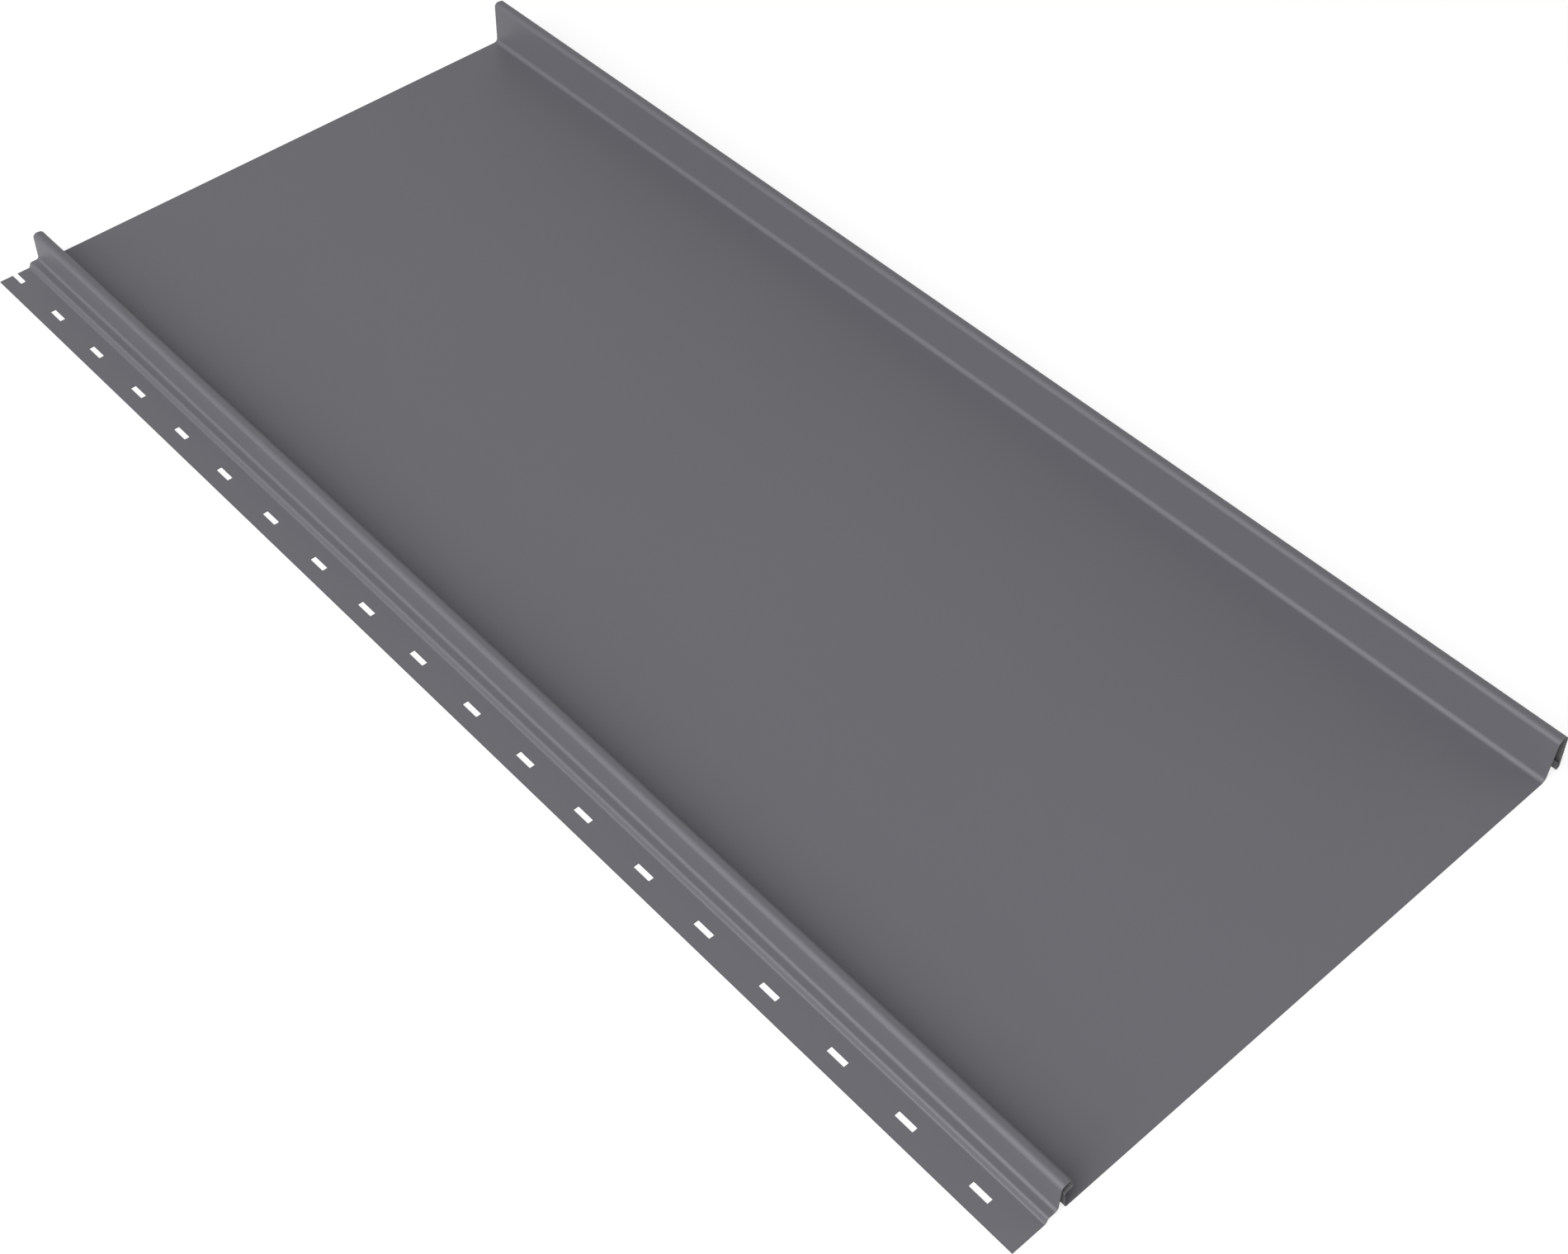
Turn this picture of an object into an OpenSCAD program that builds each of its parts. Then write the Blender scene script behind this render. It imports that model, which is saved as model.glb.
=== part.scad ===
// Standing seam roof panel: one roll-formed sheet, folded along both long edges.
// X runs across the panel from the nailing flange to the female seam, Y along its length and Z up.
// The origin is on the ground under the middle of the panel.

/* [Sheet] */
// Length of the panel along the slope of the roof
panel_l = 963.4; // [200:1:6000]
// Width that one laid panel covers, from seam to seam
cover_w = 406.4; // [150:0.1:620]
// Thickness of the sheet
sheet_t = 0.6; // [0.4:0.05:0.8]

/* [Nailing flange] */
// Width of the flat flange, from its free edge to the step
flange_w = 23.4; // [18:0.1:45]
// Height of the step that keeps the next panel off the screw heads
step_h = 3.9; // [3:0.1:6]
// Width of the slope that the step climbs
step_run = 1.4; // [1:0.1:4]
// Width of the shelf between the step and the male seam
shelf_w = 6.5; // [5:0.1:12]
// Inside radius of the two bends of the step
step_r = 1.2; // [0.4:0.1:1.3]

/* [Slots] */
// Width of a slot, across the panel
slot_w = 3.8; // [2.5:0.1:6]
// Length of a slot, along the panel
slot_l = 13; // [8:0.1:25]
// Distance from the free edge of the flange to the middle of the slots
slot_inset = 11.8; // [8:0.1:13]
// Distance between the slots of one group
slot_pitch = 52.2; // [30:0.1:80]
// Distance from one group of slots to the next
group_pitch = 154.3; // [120:0.1:400]
// Slots in a group
group_n = 3; // [1:1:3]
// Where the group that the near end cuts through begins, before that end
group_lead = 19.5; // [10:0.1:100]

/* [Male seam] */
// Overall height of the male seam
male_h = 26; // [22:0.1:32]
// Overall width of its bead
male_w = 9.5; // [8.5:0.1:12]
// Height of the underside of the ledge that the hem of the next panel snaps under
ledge_h = 16.4; // [13:0.1:18]
// Width over the neck just under the ledge
neck_w = 3.6; // [3.2:0.1:5]
// Width over the foot of the neck, where it meets the pan
foot_w = 6.9; // [5:0.1:10]
// Angle by which the far side of the bead leans out
male_lean = 10; // [0:1:14]

/* [Female seam] */
// Overall height of the female seam
female_h = 35.2; // [31:0.1:45]
// Overall width of its head, halfway down its free side
female_w = 11; // [10:0.1:14]
// Angle by which its free side leans out
female_lean = 7.7; // [0:0.5:10]
// Height of the underside of the hem
hem_rise = 2.7; // [1:0.1:5]
// Width over the hem
hem_w = 3.4; // [3:0.1:4]
// Angle by which the hem leans in towards the seam
hem_lean = 11; // [6:1:16]

/* [Fit] */
// Gap between the leg of the female seam and the male leg that it covers
leg_gap = 0.3; // [0.1:0.1:0.8]
// Gap between the hem and the ledge that it snaps under
snap_gap = 0.3; // [0.2:0.1:1.5]

/* [Bends] */
// Angle by which the tops of both seams fall away from the leg
top_fall = 7.5; // [2:1:12]
// Inside radius of the bend over each leg
leg_r = 2.5; // [1.5:0.1:2.6]
// Inside radius of the bend on the far side of each top
far_r = 3.2; // [1.5:0.1:3.2]
// Inside radius at the foot of the male leg
male_foot_r = 2.1; // [0.8:0.1:2.5]
// Inside radius at the foot of the female leg
female_foot_r = 3.2; // [1:0.1:8]
// Inside radius of the bend under the bead
bead_r = 0.8; // [0.5:0.1:1]
// Inside radius where the ledge turns down into the neck
neck_r = 1; // [0.5:0.1:1.2]
// Inside radius where the neck meets the pan
pan_r = 0.8; // [0.4:0.1:2]
// Inside radius of the two bends of the hem
hem_r = 0.9; // [0.5:0.05:1]

/* [Hidden] */
half_t = sheet_t / 2;
// Angle between the flats that make up a bend
bend_step = 7.5;
// How far a cutter runs past the sheet
past = 1;

// Height of the corner between an upright leg and a falling top, for a top that reaches height h
function corner_z(h, r) = h - half_t + r * (tan(top_fall) + 1 / cos(top_fall) - 1);

// Corner between the top that falls from point a and the side that rises from point b at its lean
function far_corner(a, b, lean) =
    let (z = (a[1] - (b[0] + b[1] * tan(lean) - a[0]) * tan(top_fall)) / (1 - tan(lean) * tan(top_fall)))
    [b[0] - (z - b[1]) * tan(lean), z];

// Middle line of the sheet: places of the legs, then the corners of both seams
male_x = flange_w + step_run + shelf_w + half_t;
female_x = male_x + cover_w - leg_gap - sheet_t;
bend_over_r = leg_r + half_t;
male_top = [male_x, corner_z(male_h, bend_over_r)];
bead = [male_x + male_w - sheet_t, ledge_h + half_t];
female_top = [female_x, corner_z(female_h, bend_over_r)];
hem_side = [female_x + female_w - sheet_t + (female_h / 2 - hem_rise) * tan(female_lean), hem_rise + half_t];
hem_foot = [hem_side[0] - hem_w + sheet_t, hem_side[1]];
hem_tip_z = ledge_h - snap_gap - step_h - sheet_t;
hem_tip = [hem_foot[0] - (hem_tip_z - hem_foot[1]) * tan(hem_lean), hem_tip_z];

// The whole middle line as corners, each with the inside radius of its bend
path = [
    [[0, half_t], 0],
    [[flange_w, half_t], step_r],
    [[flange_w + step_run, step_h + half_t], step_r],
    [[male_x, step_h + half_t], male_foot_r],
    [male_top, leg_r],
    [far_corner(male_top, bead, male_lean), far_r],
    [bead, bead_r],
    [[male_x + neck_w - sheet_t, ledge_h + half_t], neck_r],
    [[male_x + foot_w - sheet_t, half_t], pan_r],
    [[female_x, half_t], female_foot_r],
    [female_top, leg_r],
    [far_corner(female_top, hem_side, female_lean), far_r],
    [hem_side, hem_r],
    [hem_foot, hem_r],
    [hem_tip, 0],
];
last = len(path) - 1;

function point(i) = path[i][0];
function direction(a) = [cos(a), sin(a)];
function heading(i) = let (d = point(i + 1) - point(i)) atan2(d[1], d[0]);

// Angle that the sheet turns through at corner i, positive to the left
function turn(i) =
    let (a = heading(i) - heading(i - 1))
    a > 180 ? a - 360 : a < -180 ? a + 360 : a;

// Points of bend i on the face of the sheet that lies offset to the left of its middle line
function bend(i, offset) =
    let (
        into = heading(i - 1),
        hand = sign(turn(i)),
        mid_r = path[i][1] + half_t,
        setback = mid_r * tan(abs(turn(i)) / 2),
        centre = point(i) - setback * direction(into) + mid_r * direction(into + 90 * hand),
        steps = ceil(abs(turn(i)) / bend_step)
    )
    [for (k = [0 : steps]) centre + (mid_r - hand * offset) * direction(into - 90 * hand + turn(i) * k / steps)];

// One face of the folded sheet, from the free edge of the flange to the tip of the hem
function face(offset) = [
    point(0) + offset * direction(heading(0) + 90),
    for (i = [1 : last - 1]) each bend(i, offset),
    point(last) + offset * direction(heading(last - 1) + 90),
];

// Overall width of the folded sheet
total_w = max([for (p = face(half_t)) p[0]]);

// Cross-section of the folded sheet, seen from its near end
module section() {
    upper = face(half_t);
    lower = face(-half_t);
    polygon(concat(upper, [for (i = [len(lower) - 1 : -1 : 0]) lower[i]]));
}

// Slots punched into the strip in groups before it is cut to length, so that an end may cut through one
module slots() {
    for (start = [-group_lead : group_pitch : panel_l])
        for (k = [0 : group_n - 1])
            let (y = start + k * slot_pitch)
                if (y + slot_l / 2 > 0 && y - slot_l / 2 < panel_l)
                    translate([slot_inset - slot_w / 2, y - slot_l / 2, -past])
                        cube([slot_w, slot_l, sheet_t + 2 * past]);
}

module roof_panel() {
    color([0.41, 0.40, 0.42])
        translate([-total_w / 2, -panel_l / 2, 0])
            difference() {
                translate([0, panel_l, 0])
                    rotate([90, 0, 0])
                        linear_extrude(panel_l)
                            section();
                slots();
            }
}

roof_panel();
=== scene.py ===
"""Standing seam roof panel, dressed for its photograph: one roll-formed sheet of dark grey coated steel.

The panel is formed as the real one is. A line of bends is swept along the panel's length, punched with
slots and given the sheet's thickness, all by one Geometry Nodes tree. X runs across the panel from the
nailing flange to the female seam, Y along its length and Z up. The sheet's sizes are in millimetres, as in
the part's source, and the scene is in metres.
"""

import logging
import math
from collections.abc import Mapping
from dataclasses import dataclass, field
from enum import Enum
from typing import Any

import bpy
from mathutils import Euler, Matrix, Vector

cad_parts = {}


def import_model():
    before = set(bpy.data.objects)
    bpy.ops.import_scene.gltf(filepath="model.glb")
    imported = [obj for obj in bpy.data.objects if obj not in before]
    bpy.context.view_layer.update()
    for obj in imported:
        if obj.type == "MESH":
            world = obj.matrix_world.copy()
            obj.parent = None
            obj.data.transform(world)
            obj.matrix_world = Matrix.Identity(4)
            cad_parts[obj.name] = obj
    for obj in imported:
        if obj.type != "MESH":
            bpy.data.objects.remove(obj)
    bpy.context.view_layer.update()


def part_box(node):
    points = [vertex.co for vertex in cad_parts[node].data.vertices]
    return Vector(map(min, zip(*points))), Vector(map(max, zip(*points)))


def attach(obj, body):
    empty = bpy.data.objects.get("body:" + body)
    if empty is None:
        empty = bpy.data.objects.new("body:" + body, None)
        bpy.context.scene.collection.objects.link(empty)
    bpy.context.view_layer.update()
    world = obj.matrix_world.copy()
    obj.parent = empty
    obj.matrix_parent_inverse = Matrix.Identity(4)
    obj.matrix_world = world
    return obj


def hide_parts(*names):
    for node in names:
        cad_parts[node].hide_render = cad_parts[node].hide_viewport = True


log = logging.getLogger("roof_panel_scene")

MM = 0.001
NODE = "roof_panel"
BODY = "root"
WHITE = (1.0, 1.0, 1.0, 1.0)
Rgb = tuple[float, float, float]


class MaterialSlot(Enum):
    """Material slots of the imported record."""

    COATED_STEEL = "coated_steel"


class RayKind(Enum):
    """Outputs of the Light Path node that the stage tells apart."""

    CAMERA = "Is Camera Ray"
    GLOSSY = "Is Glossy Ray"
    TRANSMISSION = "Is Transmission Ray"


class Wiring:
    """Adds nodes to one node tree and links them, so that a tree reads as a list of steps."""

    def __init__(self, tree: bpy.types.NodeTree) -> None:
        """Empties the tree and starts on it."""
        self.tree = tree
        tree.nodes.clear()

    def feed(self, node: bpy.types.Node, inputs: Mapping[str | int, Any]) -> None:
        """Gives a node its inputs.

        Args:
            node: The node.
            inputs: What each input gets, by name or index: an output to link, or a value.
        """
        for key, value in inputs.items():
            socket = node.inputs[key]
            if isinstance(value, bpy.types.NodeSocket):
                self.tree.links.new(value, socket)
            else:
                socket.default_value = value

    def add(self, kind: str, inputs: Mapping[str | int, Any] | None = None,
            **settings: Any) -> bpy.types.Node:
        """Adds one node.

        Args:
            kind: The node's type name.
            inputs: What each input gets, by name or index: an output to link, or a value.
            **settings: Properties of the node, set before its inputs.

        Returns:
            The new node.
        """
        node = self.tree.nodes.new(kind)
        for name, value in settings.items():
            setattr(node, name, value)
        self.feed(node, inputs or {})
        return node

    def math(self, operation: str, *values: Any) -> bpy.types.NodeSocket:
        """Returns the output of a Math node on outputs or numbers, given in the order of its inputs."""
        return self.add("ShaderNodeMath", dict(enumerate(values)), operation=operation).outputs[0]

    def half(self, value: bpy.types.NodeSocket) -> bpy.types.NodeSocket:
        """Returns half of a value."""
        return self.math("MULTIPLY", value, 0.5)

    def less(self, a: Any, b: Any) -> bpy.types.NodeSocket:
        """Returns the output of a node that is true where a is less than b."""
        return self.add("FunctionNodeCompare", {0: a, 1: b}, operation="LESS_THAN",
                        data_type="FLOAT").outputs[0]

    def both(self, a: bpy.types.NodeSocket, b: bpy.types.NodeSocket) -> bpy.types.NodeSocket:
        """Returns the output of a node that is true where a and b are."""
        return self.add("FunctionNodeBooleanMath", {0: a, 1: b}, operation="AND").outputs[0]

    def scaled(self, vector: Any, factor: bpy.types.NodeSocket) -> bpy.types.NodeSocket:
        """Returns the output of a node that multiplies a vector or a colour by a number."""
        return self.add("ShaderNodeVectorMath", {0: vector, "Scale": factor},
                        operation="SCALE").outputs["Vector"]

    def noise(self, place: bpy.types.NodeSocket, scale: float, detail: float) -> bpy.types.NodeSocket:
        """Returns the output of a noise texture, from 0 to 1."""
        return self.add("ShaderNodeTexNoise", {"Vector": place, "Scale": scale,
                                               "Detail": detail}).outputs["Fac"]

    def around(self, factor: bpy.types.NodeSocket, middle: float, reach: float) -> bpy.types.NodeSocket:
        """Returns a factor of 0 to 1 spread over the values that lie within reach of a middle one."""
        return self.add("ShaderNodeMapRange", {"Value": factor, "To Min": middle - reach,
                                               "To Max": middle + reach}).outputs["Result"]


def new_material(name: str) -> tuple[bpy.types.Material, Wiring]:
    """Starts a material.

    Args:
        name: Its name.

    Returns:
        The material, and the wiring of its empty node tree.
    """
    made = bpy.data.materials.new(name)
    made.use_nodes = True
    return made, Wiring(made.node_tree)


def new_object(name: str, data: bpy.types.ID) -> bpy.types.Object:
    """Adds an object to the scene.

    Args:
        name: Its name.
        data: The mesh, lamp or camera that it shows.

    Returns:
        The object, at the origin.
    """
    made = bpy.data.objects.new(name, data)
    bpy.context.scene.collection.objects.link(made)
    return made


@dataclass(frozen=True)
class CoatedSteel:
    """Satin coil coating on the sheet's face: level, faintly orange-peeled, drawn lengthwise by the rolls.

    Attributes:
        mottle: Share by which the colour is lighter or darker from place to place.
        streak_stretch: How much finer the streaks are across the panel than along it.
        peel_height: Height of the orange peel, in metres.
    """

    name: str = "satin_coil_coating"
    color: Rgb = (0.135, 0.133, 0.1485)
    mottle: float = 0.025
    mottle_scale: float = 6.0
    mottle_detail: float = 3.0
    ior: float = 1.42
    roughness: float = 0.5
    roughness_spread: float = 0.03
    streak_scale: float = 160.0
    streak_stretch: float = 0.012
    streak_detail: float = 2.0
    peel_scale: float = 700.0
    peel_detail: float = 2.0
    peel_height: float = 0.000012
    peel_strength: float = 0.25

    def material(self) -> bpy.types.Material:
        """Builds the material on Object coordinates.

        Returns:
            The finished material.
        """
        made, w = new_material(self.name)
        place = w.add("ShaderNodeTexCoord").outputs["Object"]
        cloud = w.noise(place, self.mottle_scale, self.mottle_detail)
        tint = w.scaled(self.color, w.around(cloud, 1.0, self.mottle))
        drawn = w.add("ShaderNodeMapping", {"Vector": place, "Scale": (1.0, self.streak_stretch, 1.0)})
        streak = w.noise(drawn.outputs["Vector"], self.streak_scale, self.streak_detail)
        rough = w.around(streak, self.roughness, self.roughness_spread)
        peel = w.noise(place, self.peel_scale, self.peel_detail)
        bump = w.add("ShaderNodeBump", {"Height": peel, "Strength": self.peel_strength,
                                        "Distance": self.peel_height})
        shader = w.add("ShaderNodeBsdfPrincipled", {"Base Color": tint, "IOR": self.ior, "Roughness": rough,
                                                    "Normal": bump.outputs["Normal"]})
        w.add("ShaderNodeOutputMaterial", {"Surface": shader.outputs["BSDF"]})
        return made


@dataclass(frozen=True)
class BackCoat(CoatedSteel):
    """Thin coat on the back of the sheet: a lighter, duller and plain grey."""

    name: str = "grey_back_coat"
    color: Rgb = (0.24, 0.24, 0.24)
    ior: float = 1.2
    roughness: float = 0.7


@dataclass(frozen=True)
class ShearedEdge:
    """Bare steel where the sheet was sheared and punched, dull and darker than its coating; the dark is
    partly painted shade for cut faces that little light reaches.

    Attributes:
        grain: Share by which the colour is lighter or darker from grain to grain.
    """

    name: str = "sheared_edge_painted_shade"
    # Partly bare steel's own colour, partly painted shade: darkened for cut faces that get little light.
    color: Rgb = (0.055, 0.055, 0.058)
    grain: float = 0.25
    grain_scale: float = 2500.0
    grain_detail: float = 2.0
    metallic: float = 0.3
    ior: float = 1.2
    roughness: float = 0.6
    roughness_spread: float = 0.1

    def material(self) -> bpy.types.Material:
        """Builds the material on Object coordinates.

        Returns:
            The finished material.
        """
        made, w = new_material(self.name)
        place = w.add("ShaderNodeTexCoord").outputs["Object"]
        grain = w.noise(place, self.grain_scale, self.grain_detail)
        tint = w.scaled(self.color, w.around(grain, 1.0, self.grain))
        rough = w.around(grain, self.roughness, self.roughness_spread)
        shader = w.add("ShaderNodeBsdfPrincipled", {"Base Color": tint, "Metallic": self.metallic,
                                                    "IOR": self.ior, "Roughness": rough})
        w.add("ShaderNodeOutputMaterial", {"Surface": shader.outputs["BSDF"]})
        return made


@dataclass(frozen=True)
class Corner:
    """One corner of the sheet's middle line, in millimetres, with the inside radius of its bend."""

    x: float
    z: float
    inside_r: float = 0.0

    def to(self, other: "Corner") -> Vector:
        """Returns the way from this corner to another."""
        return Vector((other.x - self.x, other.z - self.z))


@dataclass(frozen=True)
class Sheet:
    """The strip of coated steel that the panel is folded from, in millimetres.

    Attributes:
        cover: Width of roof that one panel covers, from seam to seam.
        top_fall: Slope of the top of both seams, in degrees.
        leg_r: Inside radius of the bend between a seam's leg and its top.
        far_r: Inside radius of the bend between a seam's top and its far side.
        leg_gap: Gap between a male leg and the female leg that covers it.
        snap_gap: Gap between a ledge and the hem that snaps under it.
    """

    length: float = 963.4
    cover: float = 406.4
    thickness: float = 0.6
    top_fall: float = 7.5
    leg_r: float = 2.5
    far_r: float = 3.2
    leg_gap: float = 0.3
    snap_gap: float = 0.3

    @property
    def half(self) -> float:
        """Half of the sheet's thickness."""
        return self.thickness / 2

    def top_corner_z(self, height: float) -> float:
        """Finds the corner over a leg.

        Args:
            height: How high the top of the seam reaches.

        Returns:
            The corner's height.
        """
        fall = math.radians(self.top_fall)
        over_r = self.leg_r + self.half
        return height - self.half + over_r * (math.tan(fall) + 1 / math.cos(fall) - 1)

    def far_corner(self, top: Corner, foot: Corner, lean: float) -> Corner:
        """Finds where a falling top meets a leaning side.

        Args:
            top: The corner that the top falls away from.
            foot: The corner that the side rises from.
            lean: The side's lean in degrees.

        Returns:
            The corner between them.
        """
        fall = math.tan(math.radians(self.top_fall))
        out = math.tan(math.radians(lean))
        z = (top.z - (foot.x + foot.z * out - top.x) * fall) / (1 - out * fall)
        return Corner(foot.x - (z - foot.z) * out, z, self.far_r)


@dataclass(frozen=True)
class NailingFlange:
    """The flat punched flange, with the step and shelf beside it, in millimetres.

    Attributes:
        step_h: Height of the shelf above the flange.
        step_run: Width of the slope between them.
    """

    width: float = 23.4
    step_h: float = 3.9
    step_run: float = 1.4
    shelf_w: float = 6.5
    step_r: float = 1.2

    @property
    def leg_side(self) -> float:
        """Where the shelf ends, at the outer face of the male leg."""
        return self.width + self.step_run + self.shelf_w

    def corners(self, sheet: Sheet) -> list[Corner]:
        """Lists the flange's corners.

        Args:
            sheet: The sheet that is folded.

        Returns:
            The corners from the free edge to the top of the step.
        """
        return [
            Corner(0, sheet.half),
            Corner(self.width, sheet.half, self.step_r),
            Corner(self.width + self.step_run, self.step_h + sheet.half, self.step_r),
        ]


@dataclass(frozen=True)
class Slots:
    """The slots punched through the flange in groups, some cut through by the panel's ends, in millimetres.

    Attributes:
        inset: From the flange's free edge to the middle of a slot.
        pitch: From one slot of a group to the next.
        group_pitch: From one group to the next.
        group_lead: How far before the near end the first group starts.
    """

    width: float = 3.8
    length: float = 13.0
    inset: float = 11.8
    pitch: float = 52.2
    group_pitch: float = 154.3
    group_size: int = 3
    group_lead: float = 19.5

    @property
    def sides(self) -> list[float]:
        """Where both long sides of the slots lie, from the flange's free edge."""
        return [self.inset - self.width / 2, self.inset + self.width / 2]

    def groups(self, length: float) -> int:
        """Returns how many groups begin before the far end of a panel of that length."""
        return math.floor((length + self.group_lead) / self.group_pitch) + 1


@dataclass(frozen=True)
class MaleSeam:
    """The lower seam, whose ledge and neck hold the next panel's hem, in millimetres.

    Attributes:
        width: Width of the bead, from the leg.
        ledge_h: Height of the bead's underside, which is the ledge.
        neck_w: Width of the neck under the ledge, from the leg.
        foot_w: Width of the neck where it meets the pan, from the leg.
        lean: Lean of the bead's far side, in degrees.
    """

    height: float = 26.0
    width: float = 9.5
    ledge_h: float = 16.4
    neck_w: float = 3.6
    foot_w: float = 6.9
    lean: float = 10.0
    foot_r: float = 2.1
    bead_r: float = 0.8
    neck_r: float = 1.0
    pan_r: float = 0.8

    def corners(self, sheet: Sheet, leg_x: float, step_h: float) -> list[Corner]:
        """Lists the seam's corners.

        Args:
            sheet: The sheet that is folded.
            leg_x: Where the middle of its leg stands.
            step_h: Height of the shelf that the leg rises from.

        Returns:
            The corners from the foot of the leg to the pan.
        """
        top = Corner(leg_x, sheet.top_corner_z(self.height), sheet.leg_r)
        bead = Corner(leg_x + self.width - sheet.thickness, self.ledge_h + sheet.half, self.bead_r)
        return [
            Corner(leg_x, step_h + sheet.half, self.foot_r),
            top,
            sheet.far_corner(top, bead, self.lean),
            bead,
            Corner(leg_x + self.neck_w - sheet.thickness, bead.z, self.neck_r),
            Corner(leg_x + self.foot_w - sheet.thickness, sheet.half, self.pan_r),
        ]


@dataclass(frozen=True)
class FemaleSeam:
    """The taller seam that covers the last panel's male seam, with its hem, in millimetres.

    Attributes:
        width: Width of the cover at half of its height.
        lean: Lean of the cover's far side, in degrees.
        hem_rise: Height of the hem's underside.
        hem_lean: Lean of the hem, in degrees.
    """

    height: float = 35.2
    width: float = 11.0
    lean: float = 7.7
    foot_r: float = 3.2
    hem_rise: float = 2.7
    hem_w: float = 3.4
    hem_lean: float = 11.0
    hem_r: float = 0.9

    def corners(self, sheet: Sheet, leg_x: float, tip_z: float) -> list[Corner]:
        """Lists the seam's corners.

        Args:
            sheet: The sheet that is folded.
            leg_x: Where the middle of its leg stands.
            tip_z: Height of the hem's tip.

        Returns:
            The corners from the foot of the leg to the tip of the hem.
        """
        top = Corner(leg_x, sheet.top_corner_z(self.height), sheet.leg_r)
        spread = (self.height / 2 - self.hem_rise) * math.tan(math.radians(self.lean))
        side = Corner(leg_x + self.width - sheet.thickness + spread, self.hem_rise + sheet.half, self.hem_r)
        foot = Corner(side.x - self.hem_w + sheet.thickness, side.z, self.hem_r)
        return [
            Corner(leg_x, sheet.half, self.foot_r),
            top,
            sheet.far_corner(top, side, self.lean),
            side,
            foot,
            Corner(foot.x - (tip_z - foot.z) * math.tan(math.radians(self.hem_lean)), tip_z),
        ]


class FormerInput(Enum):
    """Named inputs of the tree that forms the panel, each with its socket type."""

    CORNERS = ("Corners", "NodeSocketGeometry")
    NEAR_END = ("Near End", "NodeSocketFloat")
    LENGTH = ("Length", "NodeSocketFloat")
    THICKNESS = ("Thickness", "NodeSocketFloat")
    SLOT_MIDDLE = ("Slot Middle", "NodeSocketFloat")
    SLOT_WIDTH = ("Slot Width", "NodeSocketFloat")
    SLOT_LENGTH = ("Slot Length", "NodeSocketFloat")
    SLOT_PITCH = ("Slot Pitch", "NodeSocketFloat")
    GROUP_PITCH = ("Group Pitch", "NodeSocketFloat")
    GROUP_LEAD = ("Group Lead", "NodeSocketFloat")
    GROUP_SIZE = ("Group Size", "NodeSocketInt")
    GROUP_COUNT = ("Group Count", "NodeSocketInt")
    COATING = ("Coating", "NodeSocketMaterial")
    BACK_COAT = ("Back Coat", "NodeSocketMaterial")
    CUT_EDGE = ("Cut Edge", "NodeSocketMaterial")

    @property
    def label(self) -> str:
        """The input's name in the tree."""
        return self.value[0]

    @property
    def kind(self) -> str:
        """The input's socket type."""
        return self.value[1]


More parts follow.
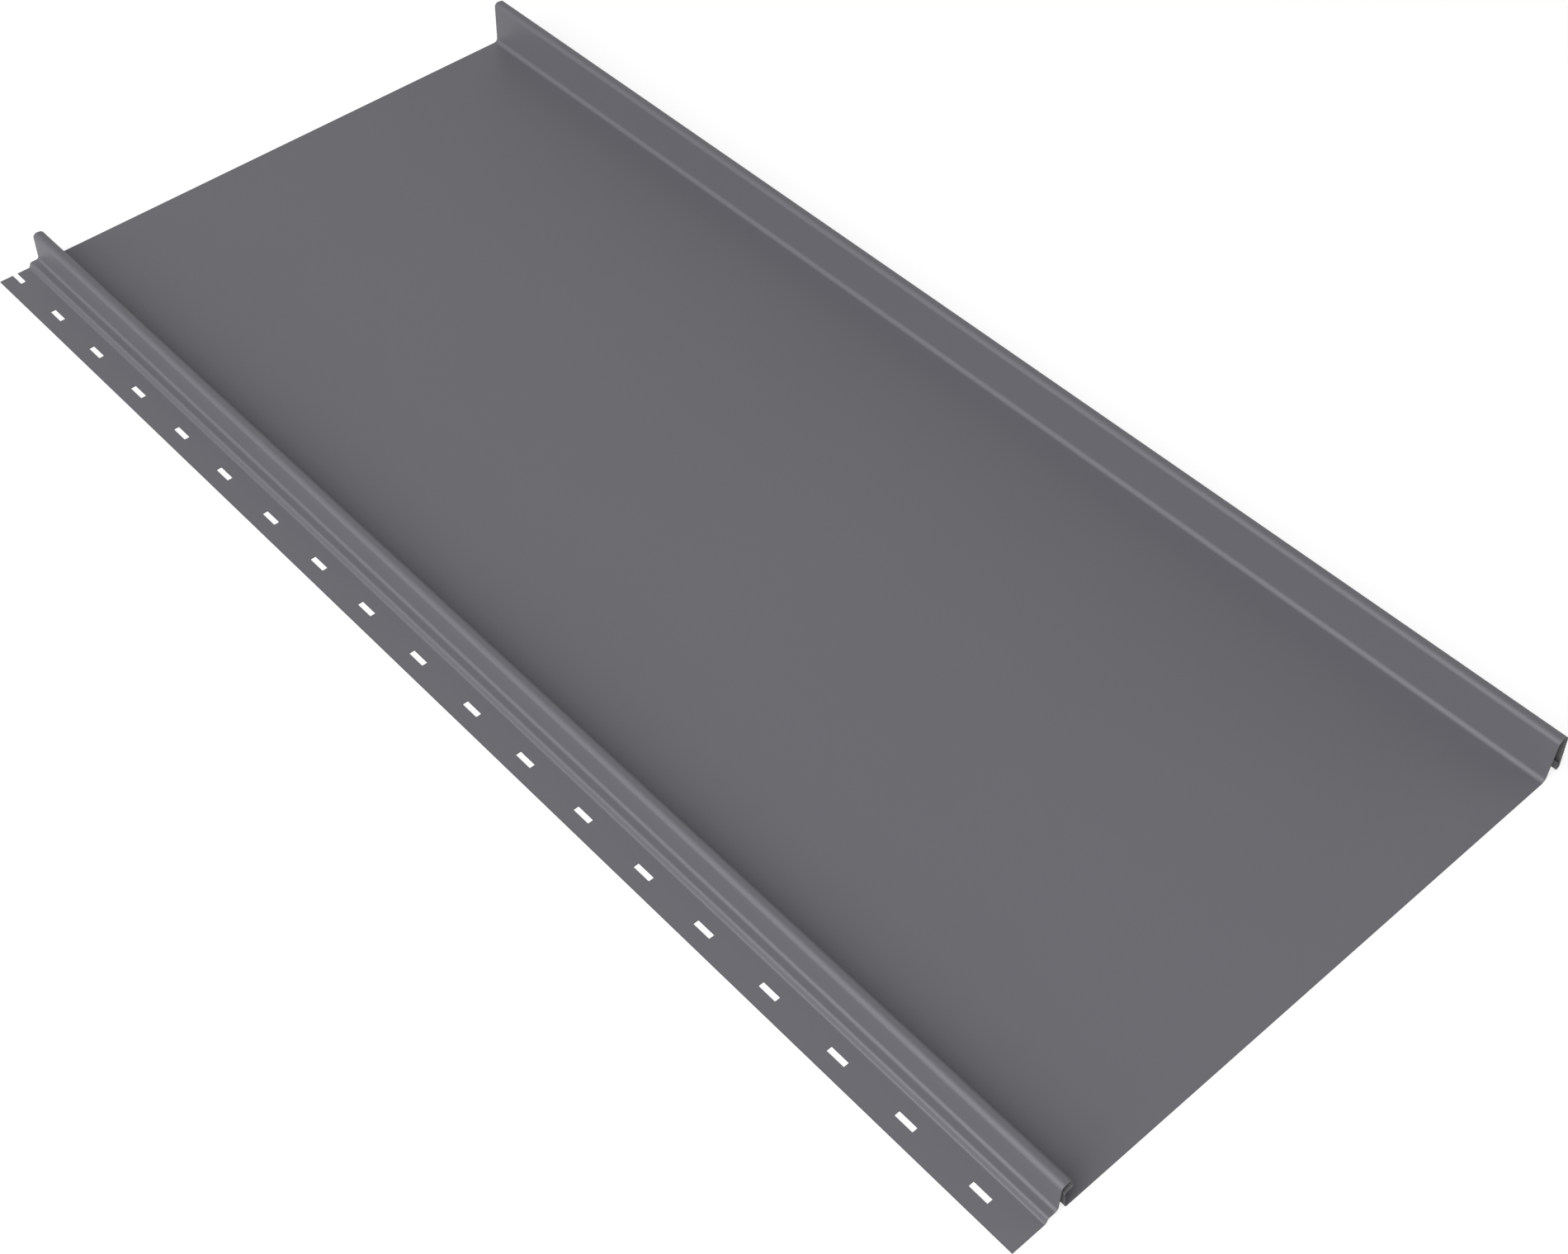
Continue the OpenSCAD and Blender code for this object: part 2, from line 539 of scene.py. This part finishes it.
class SheetFormer:
    """The Geometry Nodes tree that bends, punches and thickens the sheet.

    Attributes:
        RADIUS: Name of the attribute that holds each bend's radius, at the middle of the sheet.
        STEPS: Name of the attribute that holds how many steps each bend has.
        WELD: Distance within which points are merged, in metres.
        SHARP: Angle from which an edge is shaded sharp, in radians.
    """

    RADIUS = "bend_radius"
    STEPS = "bend_steps"
    WELD = 1e-6
    SHARP = math.radians(30)

    def __init__(self) -> None:
        """Builds the whole tree."""
        self.tree = bpy.data.node_groups.new("roll_formed_sheet", "GeometryNodeTree")
        for item in FormerInput:
            self.tree.interface.new_socket(item.label, in_out="INPUT", socket_type=item.kind)
        self.tree.interface.new_socket("Sheet", in_out="OUTPUT", socket_type="NodeSocketGeometry")
        self.w = Wiring(self.tree)
        self.given = self.w.add("NodeGroupInput")
        middle = self.weld(self.punch(self.sweep()))
        solid, walls, back = self.thicken(middle)
        self.w.add("NodeGroupOutput", {"Sheet": self.dress(solid, walls, back)})

    def take(self, item: FormerInput) -> bpy.types.NodeSocket:
        """Returns the tree's own socket for one of its inputs."""
        return self.given.outputs[item.label]

    def weld(self, geometry: bpy.types.NodeSocket) -> bpy.types.NodeSocket:
        """Returns the geometry with its doubled points merged."""
        return self.w.add("GeometryNodeMergeByDistance", {"Geometry": geometry,
                                                          "Distance": self.WELD}).outputs[0]

    def hold(self, geometry: bpy.types.NodeSocket, value: Any, kind: str, domain: str) -> bpy.types.Node:
        """Keeps a value on each point or face of a geometry while later steps change it.

        Args:
            geometry: The geometry.
            value: What is kept: an output to link, or a value.
            kind: The value's type.
            domain: POINT or FACE.

        Returns:
            The node, which gives out the geometry and then the value.
        """
        node = self.w.add("GeometryNodeCaptureAttribute", domain=domain)
        node.capture_items.new(kind, "Held")
        self.w.feed(node, {0: geometry, 1: value})
        return node

    def length_line(self) -> bpy.types.NodeSocket:
        """Lays a line along the panel, with a point at both ends of every slot that lies on it.

        Returns:
            The line as a curve.
        """
        w = self.w
        per_group = self.take(FormerInput.GROUP_SIZE)
        total = w.math("MULTIPLY", per_group, self.take(FormerInput.GROUP_COUNT))
        # Every slot has two ends, and so has the line, whose near end is the first point.
        ends = 2.0
        line = w.add("GeometryNodeMeshLine", {"Count": w.math("MULTIPLY_ADD", total, ends, ends)})
        number = w.math("SUBTRACT", w.add("GeometryNodeInputIndex").outputs[0], 1.0)
        slot = w.math("FLOOR", w.math("DIVIDE", number, ends))
        # A slot's near end is half a slot before its middle, and its far end half a slot after it.
        side = w.math("SUBTRACT", w.math("FLOORED_MODULO", number, ends), 0.5)
        group = w.math("FLOOR", w.math("DIVIDE", slot, per_group))
        turn = w.math("FLOORED_MODULO", slot, per_group)
        from_middle = w.math("MULTIPLY", side, self.take(FormerInput.SLOT_LENGTH))
        from_group = w.math("MULTIPLY_ADD", turn, self.take(FormerInput.SLOT_PITCH), from_middle)
        run = w.math("MULTIPLY_ADD", group, self.take(FormerInput.GROUP_PITCH), from_group)
        along = w.math("SUBTRACT", run, self.take(FormerInput.GROUP_LEAD))
        # Points before the near end or past the far end fall on it, and are merged there.
        kept = w.add("ShaderNodeClamp", {"Value": along, "Min": 0.0, "Max": self.take(FormerInput.LENGTH)})
        y = w.math("ADD", kept.outputs[0], self.take(FormerInput.NEAR_END))
        place = w.add("ShaderNodeCombineXYZ", {"Y": y})
        laid = w.add("GeometryNodeSetPosition", {"Geometry": line.outputs[0], "Position": place.outputs[0]})
        return w.add("GeometryNodeMeshToCurve", {"Mesh": self.weld(laid.outputs[0])}).outputs[0]

    def sweep(self) -> bpy.types.NodeSocket:
        """Rounds the corners into bends and sweeps them along the panel.

        Returns:
            The sheet's middle surface.
        """
        w = self.w
        flat = w.add("GeometryNodeTransform", {"Geometry": self.take(FormerInput.CORNERS),
                                               "Rotation": Euler((math.pi / 2, 0, 0))})
        line = w.add("GeometryNodeMeshToCurve", {"Mesh": flat.outputs[0]})
        radius = w.add("GeometryNodeInputNamedAttribute", {"Name": self.RADIUS}, data_type="FLOAT")
        steps = w.add("GeometryNodeInputNamedAttribute", {"Name": self.STEPS}, data_type="INT")
        bends = w.add("GeometryNodeFilletCurve", {"Curve": line.outputs[0], "Count": steps.outputs[0],
                                                  "Radius": radius.outputs[0]}, mode="POLY")
        return w.add("GeometryNodeCurveToMesh", {"Curve": self.length_line(),
                                                 "Profile Curve": bends.outputs[0]}).outputs[0]

    def punch(self, surface: bpy.types.NodeSocket) -> bpy.types.NodeSocket:
        """Removes the faces that the slots take out of the flange.

        Args:
            surface: The sheet's middle surface.

        Returns:
            The surface with its slots open.
        """
        w = self.w
        pitch = self.take(FormerInput.SLOT_PITCH)
        half_slot = w.half(self.take(FormerInput.SLOT_LENGTH))
        place = w.add("ShaderNodeSeparateXYZ", {0: w.add("GeometryNodeInputPosition").outputs[0]})
        across = w.math("SUBTRACT", place.outputs["X"], self.take(FormerInput.SLOT_MIDDLE))
        in_width = w.less(w.math("ABSOLUTE", across), w.half(self.take(FormerInput.SLOT_WIDTH)))
        along = w.math("SUBTRACT", place.outputs["Y"], self.take(FormerInput.NEAR_END))
        run = w.math("ADD", along, self.take(FormerInput.GROUP_LEAD))
        # A group's run is counted from half a slot before it, so that its first slot stays whole.
        counted = w.math("ADD", run, half_slot)
        shifted = w.math("FLOORED_MODULO", counted, self.take(FormerInput.GROUP_PITCH))
        in_group = w.math("SUBTRACT", shifted, half_slot)
        last = w.math("SUBTRACT", self.take(FormerInput.GROUP_SIZE), 1.0)
        number = w.math("ROUND", w.math("DIVIDE", in_group, pitch))
        nearest = w.add("ShaderNodeClamp", {"Value": number, "Min": 0.0, "Max": last})
        middle = w.math("MULTIPLY", nearest.outputs[0], pitch)
        from_middle = w.math("ABSOLUTE", w.math("SUBTRACT", in_group, middle))
        holes = w.both(in_width, w.less(from_middle, half_slot))
        return w.add("GeometryNodeDeleteGeometry", {"Geometry": surface, "Selection": holes},
                     domain="FACE").outputs[0]

    def thicken(self, middle: bpy.types.NodeSocket) -> tuple[bpy.types.NodeSocket, ...]:
        """Gives the middle surface the sheet's thickness, half on each side.

        Args:
            middle: The middle surface with its slots open.

        Returns:
            The closed sheet, which of its faces are cut edges, and which are its back.
        """
        w = self.w
        thickness = self.take(FormerInput.THICKNESS)
        held = self.hold(middle, w.add("GeometryNodeInputNormal").outputs[0], "VECTOR", "POINT")
        normal = held.outputs[1]
        down = w.scaled(normal, w.math("MULTIPLY", w.half(thickness), -1.0))
        lower = w.add("GeometryNodeSetPosition", {"Geometry": held.outputs[0], "Offset": down})
        # The top starts on the lower face, joined to it by the walls, and is then raised.
        grown = w.add("GeometryNodeExtrudeMesh", {"Mesh": lower.outputs[0], "Offset Scale": 0.0,
                                                  "Individual": False}, mode="FACES")
        raised = w.add("GeometryNodeSetPosition", {"Geometry": grown.outputs["Mesh"],
                                                   "Selection": grown.outputs["Top"],
                                                   "Offset": w.scaled(normal, thickness)})
        walls = self.hold(raised.outputs[0], grown.outputs["Side"], "BOOLEAN", "FACE")
        under = w.add("GeometryNodeFlipFaces", {"Mesh": lower.outputs[0]})
        back = self.hold(under.outputs[0], True, "BOOLEAN", "FACE")
        joined = w.add("GeometryNodeJoinGeometry", {0: walls.outputs[0]})
        w.feed(joined, {0: back.outputs[0]})
        return self.weld(joined.outputs[0]), walls.outputs[1], back.outputs[1]

    def dress(self, solid: bpy.types.NodeSocket, walls: bpy.types.NodeSocket,
              back: bpy.types.NodeSocket) -> bpy.types.NodeSocket:
        """Smooths the bends, keeps the cut edges sharp and sets the materials.

        Args:
            solid: The closed sheet.
            walls: Which of its faces are cut edges.
            back: Which of its faces are the back of the sheet.

        Returns:
            The finished sheet.
        """
        w = self.w
        smooth = w.add("GeometryNodeSetShadeSmooth", {"Geometry": solid}, domain="FACE")
        angle = w.add("GeometryNodeInputMeshEdgeAngle").outputs["Unsigned Angle"]
        gentle = w.less(angle, self.SHARP)
        crisp = w.add("GeometryNodeSetShadeSmooth", {"Geometry": smooth.outputs[0], "Shade Smooth": gentle},
                      domain="EDGE")
        real = w.add("GeometryNodeRealizeInstances", {"Geometry": crisp.outputs[0]})
        coated = w.add("GeometryNodeSetMaterial", {"Geometry": real.outputs[0],
                                                   "Material": self.take(FormerInput.COATING)})
        backed = w.add("GeometryNodeSetMaterial", {"Geometry": coated.outputs[0], "Selection": back,
                                                   "Material": self.take(FormerInput.BACK_COAT)})
        return w.add("GeometryNodeSetMaterial", {"Geometry": backed.outputs[0], "Selection": walls,
                                                 "Material": self.take(FormerInput.CUT_EDGE)}).outputs[0]

    def apply(self, corners: bpy.types.Object, values: Mapping[FormerInput, Any],
              name: str) -> bpy.types.Object:
        """Runs the tree on an object and keeps the result as a plain mesh.

        Args:
            corners: The object that holds the corners, which is removed.
            values: What each named input gets.
            name: Name of the new object.

        Returns:
            The new object, at the origin.
        """
        modifier = corners.modifiers.new(self.tree.name, "NODES")
        modifier.node_group = self.tree
        sockets = {item.name: item.identifier for item in self.tree.interface.items_tree}
        for item, value in values.items():
            modifier[sockets[item.label]] = value
        shaped = corners.evaluated_get(bpy.context.evaluated_depsgraph_get())
        mesh = bpy.data.meshes.new_from_object(shaped)
        mesh.name = name
        # The first material slot is the corners' own, which is empty.
        mesh.materials.pop(index=0)
        bpy.data.objects.remove(corners)
        return new_object(name, mesh)


@dataclass(frozen=True)
class RoofPanel:
    """The whole panel: one sheet folded from the nailing flange to the hem.

    Attributes:
        bend_step: Most that one step of a bend turns, in degrees.
        rim: Width of the strip beside each bend that keeps the shading of the flat level, in millimetres.
    """

    sheet: Sheet = field(default_factory=Sheet)
    flange: NailingFlange = field(default_factory=NailingFlange)
    slots: Slots = field(default_factory=Slots)
    male: MaleSeam = field(default_factory=MaleSeam)
    female: FemaleSeam = field(default_factory=FemaleSeam)
    coating: CoatedSteel = field(default_factory=CoatedSteel)
    back_coat: BackCoat = field(default_factory=BackCoat)
    cut_edge: ShearedEdge = field(default_factory=ShearedEdge)
    bend_step: float = 3.75
    rim: float = 0.25
    name: str = "folded_sheet"

    def corners(self) -> list[Corner]:
        """Works out the panel's middle line.

        Returns:
            Every corner, from the flange's free edge to the tip of the hem.
        """
        male_x = self.flange.leg_side + self.sheet.half
        female_x = male_x + self.sheet.cover - self.sheet.leg_gap - self.sheet.thickness
        tip_z = self.male.ledge_h - self.sheet.snap_gap - self.flange.step_h - self.sheet.thickness
        return [
            *self.flange.corners(self.sheet),
            *self.male.corners(self.sheet, male_x, self.flange.step_h),
            *self.female.corners(self.sheet, female_x, tip_z),
        ]

    def ruled(self) -> list[tuple[Corner, int]]:
        """Adds to the corners the lines that keep the flats' shading level, and those beside the slots.

        Returns:
            Every corner with the number of steps in its bend.
        """
        corners = self.corners()
        ways = [a.to(b) for a, b in zip(corners, corners[1:])]
        turns = [0.0] + [abs(a.angle_signed(b)) for a, b in zip(ways, ways[1:])] + [0.0]
        # How far from its corner each bend begins and ends, which is nothing at the sheet's own edges.
        backs = [(c.inside_r + self.sheet.half) * math.tan(turn / 2) for c, turn in zip(corners, turns)]
        out = [(corners[0], 0)]
        for i, way in enumerate(ways):
            flat = way.length - backs[i] - backs[i + 1]
            # A short flat is parted into three.
            rim = min(self.rim, flat / 3)
            stops = self.slots.sides if i == 0 else [backs[i] + rim]
            if i + 1 < len(ways):
                stops.append(way.length - backs[i + 1] - rim)
            start = corners[i]
            toward = way.normalized()
            out += [(Corner(start.x + toward[0] * s, start.z + toward[1] * s), 1) for s in stops]
            out.append((corners[i + 1], max(1, math.ceil(math.degrees(turns[i + 1]) / self.bend_step))))
        return out

    def corner_line(self, free_edge: Vector) -> bpy.types.Object:
        """Makes the object that the tree works on: the corners joined by edges.

        Args:
            free_edge: Where the flange's free edge meets the ground, in metres.

        Returns:
            The object, with the radius and steps of each bend as attributes of its points.
        """
        ruled = self.ruled()
        mesh = bpy.data.meshes.new(self.name + "_corners")
        places = [(free_edge.x + c.x * MM, 0.0, free_edge.z + c.z * MM) for c, _ in ruled]
        mesh.from_pydata(places, [(i, i + 1) for i in range(len(places) - 1)], [])
        radius = mesh.attributes.new(SheetFormer.RADIUS, "FLOAT", "POINT")
        steps = mesh.attributes.new(SheetFormer.STEPS, "INT", "POINT")
        for i, (corner, count) in enumerate(ruled):
            radius.data[i].value = (corner.inside_r + self.sheet.half) * MM if corner.inside_r else 0.0
            steps.data[i].value = count
        return new_object(mesh.name, mesh)

    def build(self) -> bpy.types.Object:
        """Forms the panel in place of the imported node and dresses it.

        Returns:
            The panel's one piece.
        """
        low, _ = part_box(NODE)
        slots = self.slots
        panel = SheetFormer().apply(self.corner_line(low), {
            FormerInput.NEAR_END: low.y,
            FormerInput.LENGTH: self.sheet.length * MM,
            FormerInput.THICKNESS: self.sheet.thickness * MM,
            FormerInput.SLOT_MIDDLE: low.x + slots.inset * MM,
            FormerInput.SLOT_WIDTH: slots.width * MM,
            FormerInput.SLOT_LENGTH: slots.length * MM,
            FormerInput.SLOT_PITCH: slots.pitch * MM,
            FormerInput.GROUP_PITCH: slots.group_pitch * MM,
            FormerInput.GROUP_LEAD: slots.group_lead * MM,
            FormerInput.GROUP_SIZE: slots.group_size,
            FormerInput.GROUP_COUNT: slots.groups(self.sheet.length),
            FormerInput.COATING: self.coating.material(),
            FormerInput.BACK_COAT: self.back_coat.material(),
            FormerInput.CUT_EDGE: self.cut_edge.material(),
        }, self.name)
        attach(panel, BODY)
        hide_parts(NODE)
        return panel


@dataclass(frozen=True)
class SoftBox:
    """An oblong studio lamp that looks at the middle of the panel.

    The angles that place it are in degrees, its distance and size in metres and its power in watts.
    """

    name: str
    azimuth: float
    elevation: float
    distance: float
    width: float
    height: float
    power: float

    def light(self, aim: Vector) -> bpy.types.Object:
        """Sets up the lamp.

        Args:
            aim: The point that it looks at.

        Returns:
            The lamp.
        """
        lamp = bpy.data.lights.new(self.name, "AREA")
        lamp.shape = "RECTANGLE"
        lamp.size = self.width
        lamp.size_y = self.height
        lamp.energy = self.power
        a = math.radians(self.azimuth)
        e = math.radians(self.elevation)
        back = Vector((math.cos(e) * math.cos(a), math.cos(e) * math.sin(a), math.sin(e)))
        made = new_object(self.name, lamp)
        made.location = aim + back * self.distance
        made.rotation_euler = back.to_track_quat("Z", "Y").to_euler()
        return made


@dataclass(frozen=True)
class Studio:
    """White floor and surround, soft lamps, and the camera of the photograph.

    Attributes:
        floor_size: Length of each side of the floor, in metres.
        floor_drop: How far the floor lies under the panel, in metres.
        glow: Strength of the floor's own white near the panel, where the lamps' light adds to it.
        glow_from: Distance from the panel's middle at which the glow starts to rise, in metres.
        glow_to: Distance at which it is full white, in metres.
        sky: Strength of the surround as a light.
        camera_place: Where the camera stands, in metres.
        camera_turn: The camera's rotation, in degrees.
        lens: The camera's focal length, in millimetres.
        sensor_width: Width of its sensor, in millimetres.
        shift: How far the picture is shifted on the sensor, in widths of it.
    """

    floor_size: float = 12.0
    floor_drop: float = 0.0003
    floor_color: Rgb = (0.35, 0.35, 0.35)
    glow: float = 0.78
    glow_from: float = 0.9
    glow_to: float = 3.5
    sky: float = 0.05
    lamps: tuple[SoftBox, ...] = (
        SoftBox("low_softbox", azimuth=180, elevation=12, distance=4.0, width=3.2, height=1.06, power=42),
        SoftBox("left_softbox", azimuth=190, elevation=35, distance=4.0, width=2.66, height=1.86, power=81),
        SoftBox("high_softbox", azimuth=200, elevation=60, distance=4.0, width=2.66, height=1.86, power=90),
        SoftBox("right_softbox", azimuth=320, elevation=12, distance=4.0, width=3.2, height=1.06, power=40),
    )
    camera_place: tuple[float, float, float] = (-0.70772, -0.79762, 1.08344)
    camera_turn: tuple[float, float, float] = (44.0586, -0.0062, -41.2346)
    lens: float = 55.2368
    sensor_width: float = 36.0
    shift: tuple[float, float] = (0.05828, -0.06635)

    def build(self) -> None:
        """Sets up the stage, the light and the camera."""
        self.floor()
        self.world()
        for lamp in self.lamps:
            lamp.light(aim=Vector((0, 0, 0)))
        self.camera()
        bpy.context.scene.view_settings.view_transform = "Standard"

    def seen(self, w: Wiring) -> bpy.types.NodeSocket:
        """Tells what the camera sees, straight, mirrored or through glass, from what only gives light.

        Args:
            w: The wiring of the material or world.

        Returns:
            An output that is 1 for what the camera sees, and otherwise 0.
        """
        path = w.add("ShaderNodeLightPath")
        camera, glossy, through = (path.outputs[kind.value] for kind in RayKind)
        return w.math("MAXIMUM", camera, w.math("MAXIMUM", glossy, through))

    def floor_paint(self) -> bpy.types.Material:
        """Builds the floor's material, which takes the panel's shadow and glows for the camera alone.

        Returns:
            The finished material.
        """
        paint, w = new_material("studio_floor_paint")
        matt = w.add("ShaderNodeBsdfDiffuse", {"Color": (*self.floor_color, 1.0)})
        place = w.add("ShaderNodeTexCoord").outputs["Object"]
        away = w.add("ShaderNodeVectorMath", {0: place}, operation="LENGTH").outputs["Value"]
        glow = w.add("ShaderNodeMapRange", {"Value": away, "From Min": self.glow_from,
                                            "From Max": self.glow_to, "To Min": self.glow, "To Max": 1.0},
                     interpolation_type="SMOOTHSTEP")
        strength = w.math("MULTIPLY", self.seen(w), glow.outputs[0])
        shine = w.add("ShaderNodeEmission", {"Strength": strength})
        both = w.add("ShaderNodeAddShader", {0: matt.outputs[0], 1: shine.outputs[0]})
        w.add("ShaderNodeOutputMaterial", {"Surface": both.outputs[0]})
        return paint

    def floor(self) -> bpy.types.Object:
        """Lays the floor, which shows white with the panel's soft shadow.

        Returns:
            The floor.
        """
        half = self.floor_size / 2
        corners = [(x * half, y * half, -self.floor_drop) for x, y in ((-1, -1), (1, -1), (1, 1), (-1, 1))]
        mesh = bpy.data.meshes.new("studio_floor")
        mesh.from_pydata(corners, [], [(0, 1, 2, 3)])
        mesh.materials.append(self.floor_paint())
        made = new_object(mesh.name, mesh)
        return made

    def world(self) -> None:
        """Sets a pale surround that looks white and lights the panel softly."""
        world = bpy.data.worlds.new("studio_surround")
        world.use_nodes = True
        w = Wiring(world.node_tree)
        strength = w.math("MULTIPLY_ADD", self.seen(w), 1 - self.sky, self.sky)
        back = w.add("ShaderNodeBackground", {"Color": WHITE, "Strength": strength})
        w.add("ShaderNodeOutputWorld", {"Surface": back.outputs[0]})
        bpy.context.scene.world = world

    def camera(self) -> None:
        """Sets the camera where the photograph's perspective puts it."""
        data = bpy.data.cameras.new("photo_camera")
        data.lens = self.lens
        data.sensor_width = self.sensor_width
        data.shift_x, data.shift_y = self.shift
        made = new_object(data.name, data)
        made.location = self.camera_place
        made.rotation_euler = Euler([math.radians(a) for a in self.camera_turn])
        bpy.context.scene.camera = made


def main() -> None:
    """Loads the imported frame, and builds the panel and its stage."""
    logging.basicConfig(level=logging.INFO, format="%(name)s: %(message)s")
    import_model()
    panel = RoofPanel().build()
    log.info("%s: %d faces", panel.name, len(panel.data.polygons))
    studio = Studio()
    studio.build()
    log.info("studio: floor, surround, camera and %d lamps", len(studio.lamps))


if __name__ == "__main__":
    main()
